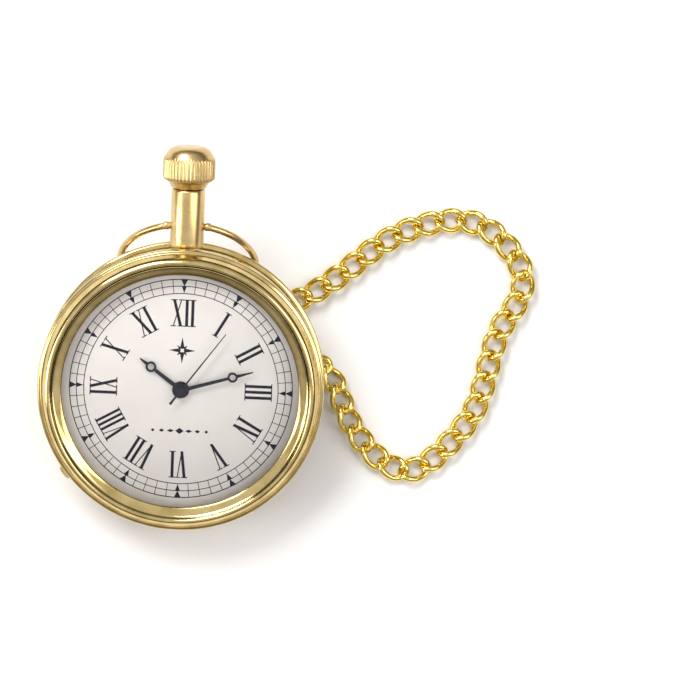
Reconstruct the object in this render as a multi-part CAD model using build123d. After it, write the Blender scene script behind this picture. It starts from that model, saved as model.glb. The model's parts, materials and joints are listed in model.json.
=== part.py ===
"""Open face pocket watch with a hand-wound movement, a folded bow and a curb chain, in millimetres.

The watch is modelled in its own frame: +Z out of the dial, +Y to twelve o'clock, z = 0 on the stem's axis.
At the end every piece is tilted onto the table, where the rear rim and the folded bow carry the watch.
"""
from build123d import *
from math import asin, atan2, cos, degrees, hypot, radians, sin, sqrt, tan
import os

# ---- case
CASE_R = 25.0            # bezel and rear rim
BAND_R = 23.3            # waist of the band between them
BAND_BORE_R = 21.6
BAND_HALF = 3.6          # the band runs this far each way from the stem's axis
RIM_BACK_Z = -5.0
BACK_Z = -6.4            # flat of the back cover
BACK_FLAT_R = 17.5
WALL = 0.6
BEZEL_TOP_Z = 6.9
GLASS_R = 22.0
GLASS_SEAT_Z = 4.9
SIGHT_R = 20.7           # clear opening inside the bezel
GLASS_T = 0.9
GLASS_RISE = 2.3
GLASS_HOLLOW_R = 19.9    # where the hollow under the dome meets the glass's flat edge

# ---- pendant, crown and bow
NECK_R = 1.2
PENDANT_R = 2.95
PENDANT_Y = (24.7, 35.0)
CROWN_Y = (35.2, 42.4)
CROWN_R = 4.55
CROWN_TOP_R = 2.8
CROWN_FLUTES = 42
CROWN_PULL = 1.2
PIVOT_Y = 28.4
BOW_R = 12.0
BOW_WIRE_R = 0.6
BOW_INSET = 3.4          # half the chord that the pendant takes out of the ring
BOW_PIN_R = 0.5
FOLD_DEG = 46.0          # between the bow and the case plane, as the watch lies
RUN_GAP = 0.05           # radial clearance of a running fit

# ---- dial and hands
DIAL_R = 21.3
DIAL_Z = (2.6, 3.0)
HOUR_Z = 3.6
MINUTE_Z = 4.2
SECOND_Z = 4.8
TIME_HOUR_DEG = 306.1
TIME_MINUTE_DEG = 73.2
TIME_SECOND_DEG = 36.0

# ---- movement
PLATE_R = 18.3
PLATE_Z = (-1.0, 1.0)
BARREL_DEG = 150.0
BARREL_M, BARREL_T, CENTRE_P = 0.19, 84, 12
THIRD_DEG = -30.0
CENTRE_M, CENTRE_T, THIRD_P = 0.14, 80, 10
THIRD_M, THIRD_T, FOURTH_P = 0.14824, 75, 10
FOURTH_M, FOURTH_T, ESCAPE_P = 0.1432, 80, 8
ESCAPE_DEG = 250.0
ESCAPE_R = 2.2
ESCAPE_T = 15
LEVER_DEG = 215.0        # from the escape wheel to the balance
ESCAPE_TO_FORK, ESCAPE_TO_BALANCE = 2.95, 7.1
MOTION_D = 3.0           # centre to minute wheel
CANNON_T, MINUTE_T, MINUTE_P, HOUR_T = 12, 36, 10, 40
SETTING_T = 42
RATCHET_T, CROWN_T, KEYLESS_M = 50, 46, 0.2
CROWN_WHEEL_Y = 10.0
PINION_Y = (14.0, 15.2)
CLUTCH_Y = (11.6, 13.5)
STEM_R = 0.6

# ---- chain
LINK_LENGTH, LINK_WIDTH, LINK_WIRE_R = 6.25, 4.65, 0.55
LINK_PITCH = 3.97
LINK_COUNT = 34
LINK_Z = 1.9


def polar(radius, angle):
    """The point at a radius and an angle in degrees from three o'clock."""
    return radius * cos(radians(angle)), radius * sin(radians(angle))


def beside(place, radius, angle):
    """The point at a radius and an angle from another point."""
    x, y = polar(radius, angle)
    return place[0] + x, place[1] + y


BARREL_AT = polar((BARREL_T + CENTRE_P) * BARREL_M / 2, BARREL_DEG)
THIRD_AT = polar((CENTRE_T + THIRD_P) * CENTRE_M / 2, THIRD_DEG)
ESCAPE_AT = polar((FOURTH_T + ESCAPE_P) * FOURTH_M / 2, ESCAPE_DEG)
BALANCE_AT = beside(ESCAPE_AT, ESCAPE_TO_BALANCE, LEVER_DEG)
FORK_AT = beside(ESCAPE_AT, ESCAPE_TO_FORK, LEVER_DEG)
MINUTE_AT = (0.0, MOTION_D)
SETTING_AT = (0.0, MOTION_D + (MINUTE_T + SETTING_T) * 0.125 / 2)
CROWN_WHEEL_AT = (0.0, CROWN_WHEEL_Y)
LEVER_AT = (3.3, 15.2)
YOKE_AT = (-3.4, 14.9)


# ---- shapes that repeat

def disc(radius, low, high, at=(0, 0)):
    """A round disc between two heights."""
    return Pos(at[0], at[1], (low + high) / 2) * Cylinder(radius, high - low)


def ring(radius, bore, low, high, at=(0, 0)):
    """A disc with a hole."""
    return disc(radius, low, high, at) - disc(bore, low - 1, high + 1, at)


def turned(*profile):
    """A body of revolution about Z, from its (radius, height) outline."""
    return revolve(make_face(Plane.XZ * Polyline(*profile, close=True)), Axis.Z)


def turned_y(*profile):
    """A body of revolution about the stem's axis, from its (radius, y) outline."""
    return revolve(make_face(Polyline(*profile, close=True)), Axis.Y)


def rod_y(radius, low, high, x=0, z=0):
    """A round rod along Y."""
    return Pos(x, (low + high) / 2, z) * Rot(90, 0, 0) * Cylinder(radius, high - low)


def plate(points, low, high):
    """A flat plate with the given outline."""
    return Pos(0, 0, low) * extrude(make_face(Polyline(*points, close=True)), high - low)


def strap(start, end, width, low, high):
    """A flat bar with round ends from one centre to another."""
    (ax, ay), (bx, by) = start, end
    length, turn = hypot(bx - ax, by - ay), degrees(atan2(by - ay, bx - ax))
    middle = ((ax + bx) / 2, (ay + by) / 2, (low + high) / 2)
    bar = Pos(*middle) * Rot(0, 0, turn) * Box(length, width, high - low)
    return bar + disc(width / 2, low, high, start) + disc(width / 2, low, high, end)


def toothed(teeth, module, low, high, at=(0, 0), first=0.0, bore=0.0, arms=0):
    """A spur wheel: straight-flanked teeth with backlash, the first one centred on the angle `first`."""
    pitch_r, step = teeth * module / 2, 360 / teeth
    tip, root = pitch_r + 0.85 * module, pitch_r - 1.15 * module
    half_teeth = ((root, 0.36), (tip, 0.11), (tip, -0.11), (root, -0.36))
    points = [polar(r, first + (n - share) * step) for n in range(teeth) for r, share in half_teeth]
    face = make_face(Polyline(*points, close=True))
    if arms:
        face -= windows(root - 3 * module, 0.28 * pitch_r, arms)
    wheel = extrude(face, high - low)
    if bore:
        wheel -= Pos(0, 0, (high - low) / 2) * Cylinder(bore, 2 * (high - low))
    return Pos(at[0], at[1], low) * wheel


def windows(outer, inner, arms):
    """The openings between a wheel's arms, as flat faces."""
    openings, gap = [], 360 / arms
    for n in range(arms):
        near, far = (0.22 * gap, 0.78 * gap) if inner > 0.9 else (0.3 * gap, 0.7 * gap)
        corners = [polar(inner, n * gap + near), polar(outer, n * gap + 0.12 * gap)]
        outside = [polar(outer, n * gap + 0.5 * gap), polar(outer, n * gap + 0.88 * gap)]
        inside = [polar(inner, n * gap + far), polar(inner, n * gap + 0.5 * gap)]
        edges = [
            Line(corners[0], corners[1]),
            ThreePointArc(corners[1], outside[0], outside[1]),
            Line(outside[1], inside[0]),
            ThreePointArc(inside[0], inside[1], corners[0]),
        ]
        openings.append(make_face(Wire(edges)))
    return openings


def in_mesh(direction, driver_teeth, driver_first, teeth):
    """The first tooth's angle that puts a wheel in mesh with a driver, which lies the other way from it."""
    turn = (driver_first - direction) * driver_teeth / teeth
    return direction + 180 + 180 / teeth - turn


def screws(places, head_z, height=0.35, radius=0.75, shank=1.3, slot_deg=25):
    """Slotted cheese-head screws whose heads stand out from head_z towards the back."""
    made = []
    for x, y in places:
        head = disc(radius, head_z - height, head_z, (x, y)) + disc(0.36, head_z, head_z + shank, (x, y))
        slot = Pos(x, y, head_z - height) * Rot(0, 0, slot_deg + 40 * x) * Box(3, 0.2, 0.3)
        made.append(head - slot)
    return made


def holes(body, places, radius, low, high):
    """The body with a round hole at each place."""
    for at in places:
        body -= disc(radius, low, high, at)
    return body


# ---- the case

def case_band():
    outline = ((BAND_BORE_R, -BAND_HALF), (CASE_R - 0.9, -BAND_HALF), (BAND_R + 0.25, -2.7), (BAND_R, 0),
               (BAND_R + 0.25, 2.7), (CASE_R - 0.9, BAND_HALF), (BAND_BORE_R, BAND_HALF))
    return turned(*outline) - rod_y(NECK_R, 20, 25)


def bezel():
    outline = ((BAND_BORE_R, BAND_HALF), (CASE_R - 0.35, BAND_HALF), (CASE_R, 3.95), (CASE_R, 4.7),
               (24.75, 5.1), (24.4, 5.15), (24.1, 5.5), (23.75, 6.25), (23.3, 6.75), (22.9, BEZEL_TOP_Z),
               (22.55, 6.75), (22.25, 6.3), (21.5, 5.95), (SIGHT_R, 5.75), (SIGHT_R, 5.45),
               (GLASS_R + 0.35, 5.45), (GLASS_R + 0.35, GLASS_SEAT_Z), (SIGHT_R + 0.3, GLASS_SEAT_Z),
               (SIGHT_R + 0.3, 4.4), (BAND_BORE_R, 4.1))
    lip = Rot(0, 0, 218) * Pos(CASE_R - 0.05, 0, 4.3) * Cylinder(1.3, 0.7)
    lip &= ring(CASE_R + 0.55, CASE_R - 0.4, 3.95, 4.65)
    return turned(*outline) + lip


def crystal():
    """A domed glass whose flat edge sits in the bezel's groove."""
    edge_in = SIGHT_R - 0.1
    dome_r = (edge_in ** 2 + GLASS_RISE ** 2) / (2 * GLASS_RISE)
    top_z = 5.4 + GLASS_RISE
    outer = Pos(0, 0, top_z - dome_r) * Sphere(dome_r) & disc(edge_in, GLASS_SEAT_Z, top_z + 1)
    drop = top_z - GLASS_T - GLASS_SEAT_Z
    hollow_r = (GLASS_HOLLOW_R ** 2 + drop ** 2) / (2 * drop)
    inner = Pos(0, 0, top_z - GLASS_T - hollow_r) * Sphere(hollow_r)
    return outer + disc(GLASS_R, GLASS_SEAT_Z, 5.4) - inner


def crystal_gasket():
    return ring(GLASS_R + 0.35, GLASS_R, GLASS_SEAT_Z, 5.4)


def back_cover():
    outline = ((CASE_R - 0.9, -BAND_HALF), (CASE_R, -BAND_HALF - 0.3), (CASE_R, RIM_BACK_Z + 0.35),
               (CASE_R - 0.35, RIM_BACK_Z), (21.5, -5.75), (BACK_FLAT_R, BACK_Z), (0, BACK_Z),
               (0, BACK_Z + WALL), (BACK_FLAT_R, BACK_Z + WALL), (20.9, -5.1), (20.9, -2.9),
               (BAND_BORE_R - 0.05, -2.9), (BAND_BORE_R - 0.05, -BAND_HALF))
    return turned(*outline)


# ---- pendant, bow and crown

def pendant():
    low, high = PENDANT_Y
    outer = turned_y((0, BAND_R - 0.6), (NECK_R, BAND_R - 0.6), (NECK_R, low), (PENDANT_R - 0.35, low),
                     (PENDANT_R, low + 0.35), (PENDANT_R, high - 0.3), (PENDANT_R - 0.3, high), (0, high))
    outer -= rod_y(0.85, 20, low + 1.2)
    outer -= rod_y(1.9, low + 1.2, high + 1)
    for side in (-1, 1):
        outer -= Pos(side * 2.6, PIVOT_Y, 0) * Rot(0, 90, 0) * Cylinder(BOW_PIN_R + RUN_GAP, 1.6)
    return outer


def pendant_sleeve():
    """The threaded sleeve that guides the stem, with the slots of its collet."""
    low, high = PENDANT_Y[0] + 4.9, PENDANT_Y[1] - 0.5
    sleeve = rod_y(1.88, low, high) - rod_y(STEM_R + 0.15, low - 1, high + 1)
    return sleeve - Pos(0, low + 1, 0) * Box(0.3, 2.6, 6)


def bow():
    """A round ring of wire whose ends turn into the pendant; it is drawn about its own pivot."""
    centre = sqrt(BOW_R ** 2 - BOW_INSET ** 2)
    start = degrees(asin(3.6 / BOW_R))
    path = CenterArc((0, -centre), BOW_R, 90 + start, 360 - 2 * start)
    section = Plane(origin=path @ 0, z_dir=path % 0) * Circle(BOW_WIRE_R)
    body = sweep(section, path)
    for side in (-1, 1):
        body += Pos(side * 2.9, 0, 0) * Rot(0, 90, 0) * Cylinder(BOW_PIN_R, 1.7)
        body += Pos(side * 3.6, 0.0, 0) * Sphere(BOW_WIRE_R + 0.12)
    return Pos(0, PIVOT_Y, 0) * Rot(FOLD_DEG, 0, 0) * body


def crown():
    low, high = CROWN_Y
    shell = turned_y((0, low), (3.0, low), (3.45, low + 0.9), (CROWN_R - 0.25, low + 1.5), (CROWN_R, low + 1.8),
                     (CROWN_R, low + 5.0), (CROWN_R - 0.3, low + 5.5), (3.9, low + 6.2), (3.3, high - 0.45),
                     (CROWN_TOP_R, high - 0.1), (CROWN_TOP_R - 0.5, high), (0, high))
    flutes = []
    for n in range(CROWN_FLUTES):
        x, z = polar(CROWN_R + 0.16, n * 360 / CROWN_FLUTES)
        flutes.append(rod_y(0.28, low + 1.2, low + 5.4, x, z))
    shell -= flutes
    return shell - rod_y(STEM_R, low - 1, low + 5) - rod_y(2.35, low - 1, low + 1.3)


def crown_gasket():
    low = CROWN_Y[0]
    return rod_y(2.3, low + 0.4, low + 1.2) - rod_y(STEM_R + 0.01, low - 1, low + 3)


def winding_stem():
    low, high = 9.2, CROWN_Y[0] + 5
    stem = rod_y(STEM_R, 16.9, high) + rod_y(0.3, low, 11.1)
    square = Pos(0, 13.475, 0) * Box(0.74, 4.85, 0.74)
    neck = rod_y(0.36, 15.9, 16.9)
    return stem + square + neck


# ---- dial and hands

def dial():
    face = ring(DIAL_R, 1.3, *DIAL_Z)
    for at in (polar(16.9, 110), polar(16.9, -50)):
        face += disc(0.45, 1.2, DIAL_Z[0], at)
    return face


def ring_hand(length, ring_at, ring_r, width, z, angle, hub_r, bore, tip=0.18, hub_t=0.3):
    """A slim tapering hand with a ring before its pointed tip."""
    low, high, lap = z - 0.1, z + 0.1, 0.25
    blade = plate(((-width / 2, 0), (-width * 0.36, ring_at - ring_r + lap), (width * 0.36, ring_at - ring_r + lap),
                   (width / 2, 0)), low, high)
    point = plate(((-width * 0.42, ring_at + ring_r - lap), (-tip / 2, length), (tip / 2, length),
                   (width * 0.42, ring_at + ring_r - lap)), low, high)
    eye = ring(ring_r, ring_r - 0.38, low, high, (0, ring_at))
    hub = disc(hub_r, z - hub_t / 2, z + hub_t / 2)
    hand = blade + point + eye + hub
    hand -= disc(bore, z - 1, z + 1)
    return Rot(0, 0, -angle) * hand


def hour_hand():
    return ring_hand(9.0, 6.6, 0.95, 0.8, HOUR_Z, TIME_HOUR_DEG, 1.5, 1.05)


def minute_hand():
    return ring_hand(13.1, 9.4, 0.9, 0.7, MINUTE_Z, TIME_MINUTE_DEG, 1.15, 0.72)


def second_hand():
    low, high = SECOND_Z - 0.07, SECOND_Z + 0.07
    outline = ((-0.22, -3.0), (-0.16, 0), (-0.07, 12.9), (0.07, 12.9), (0.16, 0), (0.22, -3.0))
    hand = plate(outline, low, high) + disc(0.75, SECOND_Z - 0.2, SECOND_Z + 0.2)
    hand -= disc(0.17, SECOND_Z - 1, SECOND_Z + 0.1)
    return Rot(0, 0, -TIME_SECOND_DEG) * hand


# ---- plates and bridges of the movement

def movement_ring():
    """The spacer between the movement and the band."""
    body = ring(BAND_BORE_R - 0.1, PLATE_R + 0.02, -2.8, 2.55)
    return body - rod_y(0.8, 17, 23)


def case_clamps():
    """The tabs that hold the movement against its ring, each on its own spacer."""
    made = []
    for x, y in PILLARS["clamps"]:
        tab = Rot(0, 0, degrees(atan2(y, x))) * Pos(18.6, 0, -3.05) * Box(3.4, 2.6, 0.4)
        made.append(tab + disc(0.8, -3.05, PLATE_Z[0], (x, y)) - disc(0.4, -4, 0, (x, y)))
    return made


PILLARS = {
    "barrel": (polar(16.6, 188), polar(16.6, 118), polar(16.9, 72)),
    "train": (polar(14.6, -68), polar(15.6, 0)),
    "cock": (polar(16.7, 205),),
    "pallet": (polar(9.2, 272), polar(10.4, 205)),
    "clamps": (polar(17.5, 40), polar(17.5, 258)),
}


def mainplate():
    low, high = PLATE_Z
    body = disc(PLATE_R, low, high) + ring(PLATE_R, 16.0, high, 2.55)
    body -= disc(8.45, low - 1, 0.6, BARREL_AT)
    body -= disc(0.6, 0, 2, BARREL_AT)
    body -= disc(0.55, low - 1, high + 1)
    body -= Pos(0, 13.65, 0) * Box(4.4, 5.9, 4)
    body -= rod_y(STEM_R + RUN_GAP, 16, 19)
    body -= rod_y(0.3 + RUN_GAP, 8.8, 11.2)
    body -= Pos(1.2, 16.7, 1.8) * Box(8.4, 3.6, 1.6)
    body -= Pos(0.4, 17.3, 0.7) * Box(1.7, 2.2, 0.8)
    body = holes(body, (THIRD_AT, ESCAPE_AT, FORK_AT, BALANCE_AT), 0.62, low - 1, high + 1)
    body = holes(body, (polar(16.9, 110), polar(16.9, -50)), 0.5, 0, 3)
    return holes(body, sum(PILLARS.values(), ()), 0.4, low - 1, high + 1)


def barrel_bridge():
    """The bridge over the barrel and the winding wheels, on its three feet."""
    low, high = -2.6, -2.05
    left, top, right = PILLARS["barrel"]
    rim = ring(16.9, 15.0, low, high) & plate(((0, 0), polar(30, 66), polar(30, 95), polar(30, 124)), low, high)
    body = disc(4.5, low, high, BARREL_AT) + strap(left, BARREL_AT, 3.2, low, high)
    body += strap(BARREL_AT, top, 3.2, low, high) + rim
    body += strap(CROWN_WHEEL_AT, polar(16.0, 112), 1.5, -2.0, -1.5)
    for at in (left, top, right):
        body += disc(1.35, low, PLATE_Z[0], at)
    body -= disc(0.95, low - 1, high + 1, BARREL_AT)
    body -= disc(0.4, low - 1, high + 1, CROWN_WHEEL_AT)
    body -= disc(0.4, low - 1, high + 1, CLICK_AT)
    return holes(body, (left, top, right), 0.4, -5, 0)


def train_bridge():
    """The upper bridge of the third, fourth and escape wheels."""
    low, high = -4.8, -4.0
    body = strap(PILLARS["train"][1], THIRD_AT, 3.0, low, high) + strap(THIRD_AT, (0, 0), 3.0, low, high)
    body += strap((0, 0), ESCAPE_AT, 2.6, low, high) + strap(THIRD_AT, PILLARS["train"][0], 3.0, low, high)
    for at in PILLARS["train"]:
        body += disc(1.5, low, PLATE_Z[0], at)
    body = holes(body, ((0, 0), THIRD_AT, ESCAPE_AT), 0.62, low - 1, high + 1)
    return holes(body, PILLARS["train"], 0.4, -6, 0)


def pallet_bridge():
    low, high = -2.95, -2.6
    a, b = PILLARS["pallet"]
    body = strap(a, FORK_AT, 1.7, low, high) + strap(FORK_AT, b, 1.7, low, high)
    for at in (a, b):
        body += disc(0.85, low, PLATE_Z[0], at)
    body = holes(body, (FORK_AT,), 0.62, low - 1, high + 1)
    return holes(body, (a, b), 0.4, -6, 0)


def balance_cock():
    low, high = -5.3, -4.7
    foot = PILLARS["cock"][0]
    body = strap(foot, BALANCE_AT, 3.2, low, high) + disc(2.2, low, high, BALANCE_AT)
    body += disc(1.6, low, PLATE_Z[0], foot)
    body -= disc(0.62, low - 1, high + 1, BALANCE_AT)
    return body - disc(0.4, -6, 0, foot)


def regulator():
    low, high = -4.68, -4.48
    end = (BALANCE_AT[0] + 4.2, BALANCE_AT[1] - 2.2)
    body = strap(BALANCE_AT, end, 0.7, low, high) + disc(1.5, low, high, BALANCE_AT)
    return body - disc(0.8, low - 1, high + 1, BALANCE_AT)


def jewels():
    """Bearing jewels, each pressed in its plate or bridge with a hole for its pivot."""
    made = []
    lower = (THIRD_AT, ESCAPE_AT, FORK_AT, BALANCE_AT)
    for at in lower:
        made.append(ring(0.62, 0.2, PLATE_Z[0] + 0.05, PLATE_Z[0] + 0.55, at))
    for at in ((0, 0), THIRD_AT, ESCAPE_AT):
        made.append(ring(0.62, 0.2, -4.75, -4.3, at))
    made.append(ring(0.62, 0.2, -2.95, -2.65, FORK_AT))
    made.append(ring(0.62, 0.2, -5.25, -4.85, BALANCE_AT))
    return made


def bridge_screws():
    made = screws(PILLARS["barrel"], -2.6) + screws(PILLARS["train"], -4.8)
    made += screws(PILLARS["pallet"], -2.95, 0.25, 0.6) + screws(PILLARS["cock"], -5.3, 0.35, 0.9)
    return made


def case_screws():
    return screws(PILLARS["clamps"], -3.25, 0.3, 0.9, 2.9)


# ---- going train

def barrel_drum():
    wall = ring(7.3, 6.95, -1.4, 0.45, BARREL_AT)
    teeth = toothed(BARREL_T, BARREL_M, -1.4, -1.0, BARREL_AT, BARREL_DEG + 180, bore=6.9)
    floor = ring(7.3, 0.85, 0.2, 0.45, BARREL_AT)
    return wall + teeth + floor


def barrel_cover():
    return ring(6.9, 0.85, -1.4, -1.15, BARREL_AT)


def barrel_arbor():
    body = disc(0.8, -2.0, 0.55, BARREL_AT) + disc(1.9, -1.05, 0.1, BARREL_AT)
    return body + disc(0.55, 0.55, 0.95, BARREL_AT) + disc(0.9, -2.62, -2.0, BARREL_AT)


def spiral_strip(at, low, high, inner, outer, turns, thick):
    """A flat spiral spring as one strip, drawn as an Archimedean curve."""
    steps = int(turns * 14)
    middle = [(inner + (outer - inner) * n / steps, turns * 360 * n / steps) for n in range(steps + 1)]
    inside = [polar(r - thick / 2, a) for r, a in middle]
    outside = [polar(r + thick / 2, a) for r, a in middle]
    face = make_face([Spline(*inside), Line(inside[-1], outside[-1]), Spline(*outside),
                      Line(outside[0], inside[0])])
    return Pos(at[0], at[1], low) * extrude(face, high - low)


def mainspring():
    return spiral_strip(BARREL_AT, -1.0, 0.1, 2.6, 6.6, 6, 0.22)


def ratchet_wheel():
    body = toothed(RATCHET_T, KEYLESS_M, -3.1, -2.65, BARREL_AT, RATCHET_FIRST)
    return body + disc(0.75, -2.65, -2.62, BARREL_AT)


def ratchet_screw():
    return screws((BARREL_AT,), -3.1, 0.3, 1.4, 0.01)


def centre_wheel():
    """The hollow centre arbor with its wheel and pinion."""
    body = toothed(CENTRE_T, CENTRE_M, -1.9, -1.7, first=THIRD_DEG, arms=5)
    body += toothed(CENTRE_P, BARREL_M, -1.5, -1.02, first=CENTRE_PINION_FIRST)
    body += disc(0.9, -2.1, -1.02) + disc(0.5, -1.02, 1.05) + disc(0.4, 1.05, 3.9)
    return body - disc(0.24, -3, 5)


def third_wheel():
    body = toothed(THIRD_T, THIRD_M, -2.95, -2.77, THIRD_AT, THIRD_DEG + 180, arms=5)
    body += toothed(THIRD_P, CENTRE_M, -2.2, -1.45, THIRD_AT, in_mesh(THIRD_DEG, CENTRE_T, THIRD_DEG, THIRD_P))
    body += disc(0.4, -3.9, -0.98, THIRD_AT)
    return body + disc(0.17, -4.7, -0.5, THIRD_AT)


def fourth_wheel():
    """The wheel under the second hand, whose arbor runs through the hollow centre arbor."""
    body = toothed(FOURTH_T, FOURTH_M, -3.5, -3.32, first=ESCAPE_DEG, arms=4)
    body += toothed(FOURTH_P, THIRD_M, -3.2, -2.5, first=in_mesh(THIRD_DEG + 180, THIRD_T, THIRD_DEG + 180, FOURTH_P))
    body += disc(0.35, -3.95, -2.3) + disc(0.17, -4.7, SECOND_Z)
    return body


def escape_wheel():
    """Fifteen club teeth, with the pinion that the fourth wheel drives."""
    points, step = [], 360 / ESCAPE_T
    for n in range(ESCAPE_T):
        for radius, share in ((1.65, 0.0), (2.12, 0.30), (ESCAPE_R, 0.42), (2.02, 0.46), (1.65, 0.40)):
            points.append(polar(radius, (n + share) * step))
    face = make_face(Polyline(*points, close=True))
    body = Pos(*ESCAPE_AT, -2.45) * extrude(face - windows(1.35, 0.6, 4), 0.2)
    body += toothed(ESCAPE_P, FOURTH_M, -3.7, -3.05, ESCAPE_AT, in_mesh(ESCAPE_DEG, FOURTH_T, ESCAPE_DEG, ESCAPE_P))
    body += disc(0.3, -3.9, -0.98, ESCAPE_AT)
    return body + disc(0.17, -4.7, -0.5, ESCAPE_AT)


PALLET_ENDS = [beside(FORK_AT, 2.0, LEVER_DEG + 180 + side * 62) for side in (-1, 1)]


def pallet_fork():
    """The lever on its arbor, from the two pallet arms to the forked end."""
    low, high = -2.45, -2.25
    body = disc(0.5, low, high, FORK_AT)
    for end in PALLET_ENDS:
        body += strap(FORK_AT, end, 0.5, low, high)
    tip = beside(FORK_AT, 3.2, LEVER_DEG)
    body += strap(FORK_AT, tip, 0.42, low, high) + disc(0.5, low, high, tip)
    notch = beside(FORK_AT, 3.6, LEVER_DEG)
    body -= Pos(notch[0], notch[1], -2.35) * Rot(0, 0, LEVER_DEG) * Box(0.9, 0.34, 1)
    return body + disc(0.25, -2.6, -0.98, FORK_AT) + disc(0.17, -2.9, -0.5, FORK_AT)


def pallet_stones():
    return [Pos(x, y, -2.15) * Rot(0, 0, LEVER_DEG) * Box(0.5, 0.22, 0.18) for x, y in PALLET_ENDS]


def balance_wheel():
    """The balance rim with its timing screws, two arms, staff and roller."""
    low, high = -3.5, -3.1
    body = ring(4.35, 3.9, low, high, BALANCE_AT)
    body += Pos(*BALANCE_AT, -3.3) * Rot(0, 0, 20) * Box(8.2, 0.6, 0.25)
    for n in range(12):
        x, y = polar(4.45, 20 + n * 30)
        body += Pos(BALANCE_AT[0] + x, BALANCE_AT[1] + y, -3.3) * Rot(0, 0, 20 + n * 30) * Rot(0, 90, 0) * Cylinder(0.18, 0.35)
    body += disc(0.5, -4.4, -2.5, BALANCE_AT) + disc(0.9, -2.75, -2.55, BALANCE_AT)
    return body + disc(0.17, -5.2, -0.5, BALANCE_AT)


def hairspring():
    coil = spiral_strip(BALANCE_AT, -4.1, -3.95, 0.8, 2.7, 7, 0.06)
    stud = Pos(BALANCE_AT[0] + 2.72, BALANCE_AT[1], -4.3) * Cylinder(0.14, 0.75)
    return coil + stud


# ---- motion work

CENTRE_PINION_FIRST = in_mesh(BARREL_DEG + 180, BARREL_T, BARREL_DEG + 180, CENTRE_P)
KEYLESS_DEG = degrees(atan2(CROWN_WHEEL_AT[1] - BARREL_AT[1], CROWN_WHEEL_AT[0] - BARREL_AT[0]))
RATCHET_FIRST = KEYLESS_DEG
CANNON_FIRST = 90.0
MINUTE_FIRST = in_mesh(90, CANNON_T, CANNON_FIRST, MINUTE_T)


def cannon_pinion():
    body = toothed(CANNON_T, 0.125, 1.1, 1.6, first=CANNON_FIRST) + disc(0.72, 1.6, MINUTE_Z + 0.15)
    return body - disc(0.4, 0, 6)


def minute_wheel():
    body = toothed(MINUTE_T, 0.125, 1.15, 1.35, MINUTE_AT, MINUTE_FIRST)
    body += toothed(MINUTE_P, 0.12, 1.35, 1.95, MINUTE_AT, 270)
    return body - disc(0.3 + RUN_GAP, 0, 3, MINUTE_AT)


def hour_wheel():
    body = toothed(HOUR_T, 0.12, 1.7, 1.9, first=in_mesh(270, MINUTE_P, 270, HOUR_T))
    body += disc(1.05, 1.7, HOUR_Z + 0.15)
    return body - disc(0.72 + RUN_GAP, 0, 6)


def setting_wheel():
    body = toothed(SETTING_T, 0.125, 1.15, 1.35, SETTING_AT, in_mesh(90, MINUTE_T, MINUTE_FIRST, SETTING_T), arms=4)
    return body - disc(0.4 + RUN_GAP, 0, 3, SETTING_AT)


def dial_side_posts():
    """The fixed studs that the wheels and levers under the dial turn on."""
    posts = ((0.3, 2.1, MINUTE_AT), (0.4, 1.5, SETTING_AT), (0.35, 1.5, LEVER_AT), (0.35, 1.5, YOKE_AT))
    return [disc(radius, PLATE_Z[1], top, at) for radius, top, at in posts]


# ---- winding and setting work

def winding_pinion():
    low, high = PINION_Y
    points = []
    for n in range(18):
        for radius, share in ((1.6, -0.3), (2.0, -0.15), (2.0, 0.15), (1.6, 0.3)):
            points.append(polar(radius, (n + share) * 20))
    body = Plane((0, low, 0), z_dir=(0, 1, 0)) * extrude(make_face(Polyline(*points, close=True)), high - low)
    return body - rod_y(0.55, low - 1, high + 1)


def sliding_clutch():
    low, high = CLUTCH_Y
    body = rod_y(1.4, low, low + 0.7) + rod_y(0.95, low + 0.7, high - 0.6) + rod_y(1.4, high - 0.6, high)
    for n in range(10):
        x, z = polar(1.2, n * 36)
        body -= Pos(x, low, z) * Sphere(0.22)
    return body - Pos(0, (low + high) / 2, 0) * Box(0.84, 4, 0.84)


def crown_wheel():
    """A flat wheel in mesh with the ratchet wheel, with face teeth down to the winding pinion."""
    first = in_mesh(KEYLESS_DEG, RATCHET_T, RATCHET_FIRST, CROWN_T)
    body = toothed(CROWN_T, KEYLESS_M, -3.1, -2.65, CROWN_WHEEL_AT, first)
    body += ring(4.45, 3.8, -2.65, -2.06, CROWN_WHEEL_AT)
    notches = []
    for n in range(23):
        x, y = polar(4.12, n * 360 / 23)
        notches.append(Pos(x, CROWN_WHEEL_Y + y, -2.05) * Rot(0, 0, n * 360 / 23) * Box(1.2, 0.5, 0.5))
    return body - notches - disc(1.2 + RUN_GAP, -4, -1, CROWN_WHEEL_AT)


def crown_wheel_core():
    core = disc(1.2, -3.15, -2.0, CROWN_WHEEL_AT) + disc(1.7, -3.3, -3.15, CROWN_WHEEL_AT)
    return core + disc(0.4, -2.0, -1.5, CROWN_WHEEL_AT)


CLICK_DEG = 188.0
CLICK_AT = beside(BARREL_AT, 6.6, CLICK_DEG)


def click():
    """The pawl beside the ratchet wheel, its beak just clear of the teeth."""
    beak = beside(BARREL_AT, 5.75, CLICK_DEG + 24)
    body = disc(0.85, -3.0, -2.67, CLICK_AT) + strap(CLICK_AT, beak, 0.6, -3.0, -2.67)
    body -= disc(5.3, -4, -2, BARREL_AT)
    return body - disc(0.4 + RUN_GAP, -4, -2, CLICK_AT)


def click_screw():
    return disc(0.4, -3.05, -2.1, CLICK_AT) + disc(0.8, -3.3, -3.05, CLICK_AT)


def click_spring():
    """A bent wire spring whose free end stands just behind the click."""
    start, bend, end = (beside(BARREL_AT, r, a) for r, a in ((7.9, 236), (8.2, 222), (7.0, 212)))
    wire = strap(start, bend, 0.26, -2.9, -2.68) + strap(bend, end, 0.26, -2.9, -2.68)
    return wire + disc(0.45, -2.9, -2.6, start)


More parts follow.
